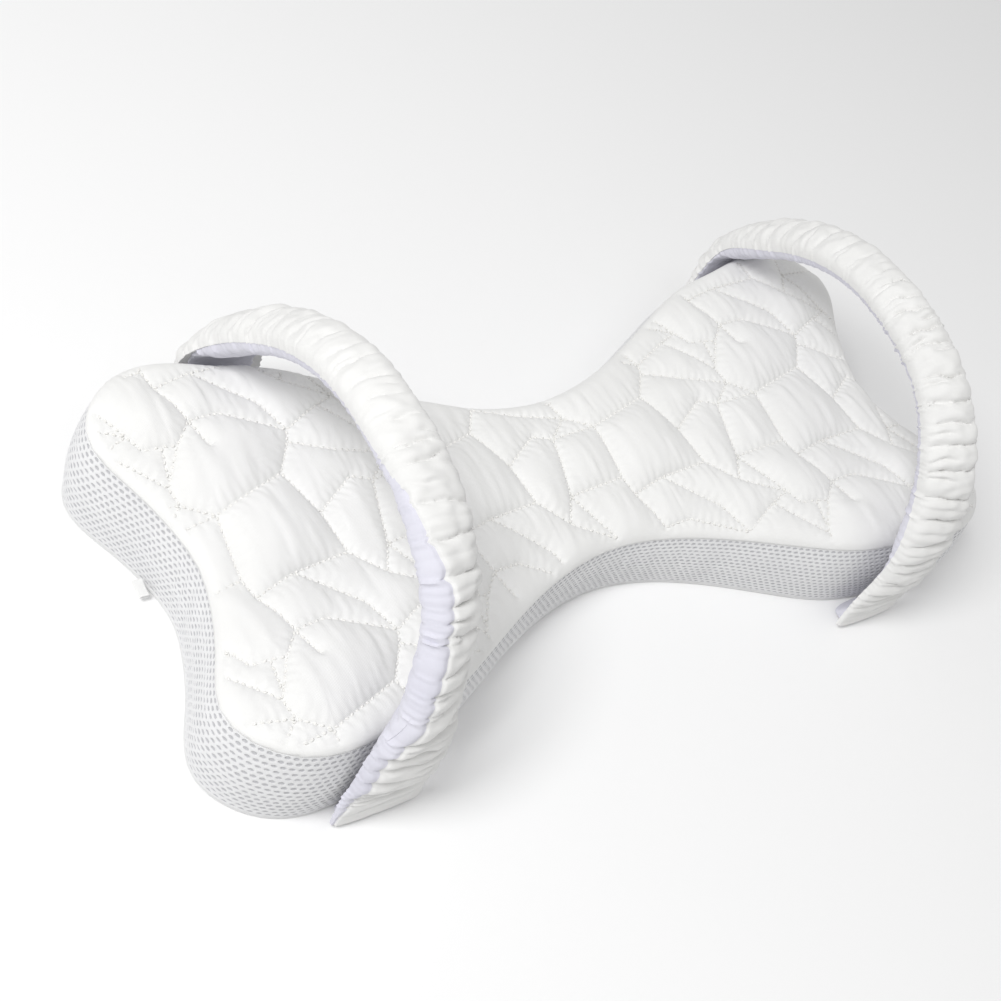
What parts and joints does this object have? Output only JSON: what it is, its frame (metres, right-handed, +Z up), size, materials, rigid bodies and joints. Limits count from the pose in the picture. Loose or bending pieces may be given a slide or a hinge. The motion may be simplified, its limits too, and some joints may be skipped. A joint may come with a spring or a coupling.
{
  "type": "knee pillow",
  "caption": "Bone-shaped knee pillow with a crazy-quilted face, an air-mesh side band, a flat base and a ruched leg strap arching over each end.",
  "frame": {"origin": "centre of the footprint, on the surface that the base lies on", "axes": "+X along the pillow, +Y across it, +Z up through the quilted face"},
  "size_m": [0.5384, 0.2756, 0.175],
  "materials": {
    "quilted_knit": "matte warm white knit, quilted",
    "air_mesh": "matte cool white spacer mesh",
    "base_cloth": "matte plain weave",
    "strap_lining": "matte pale lavender jersey",
    "tape": "matte woven tape"
  },
  "bodies": {
    "root": {"quilted_cushion": "quilted_knit", "mesh_gusset": "air_mesh", "base_panel": "base_cloth", "left_strap_sleeve": "quilted_knit", "left_strap_lining": "strap_lining", "right_strap_sleeve": "quilted_knit", "right_strap_lining": "strap_lining", "seam_tab": "tape"}
  },
  "joints": []
}
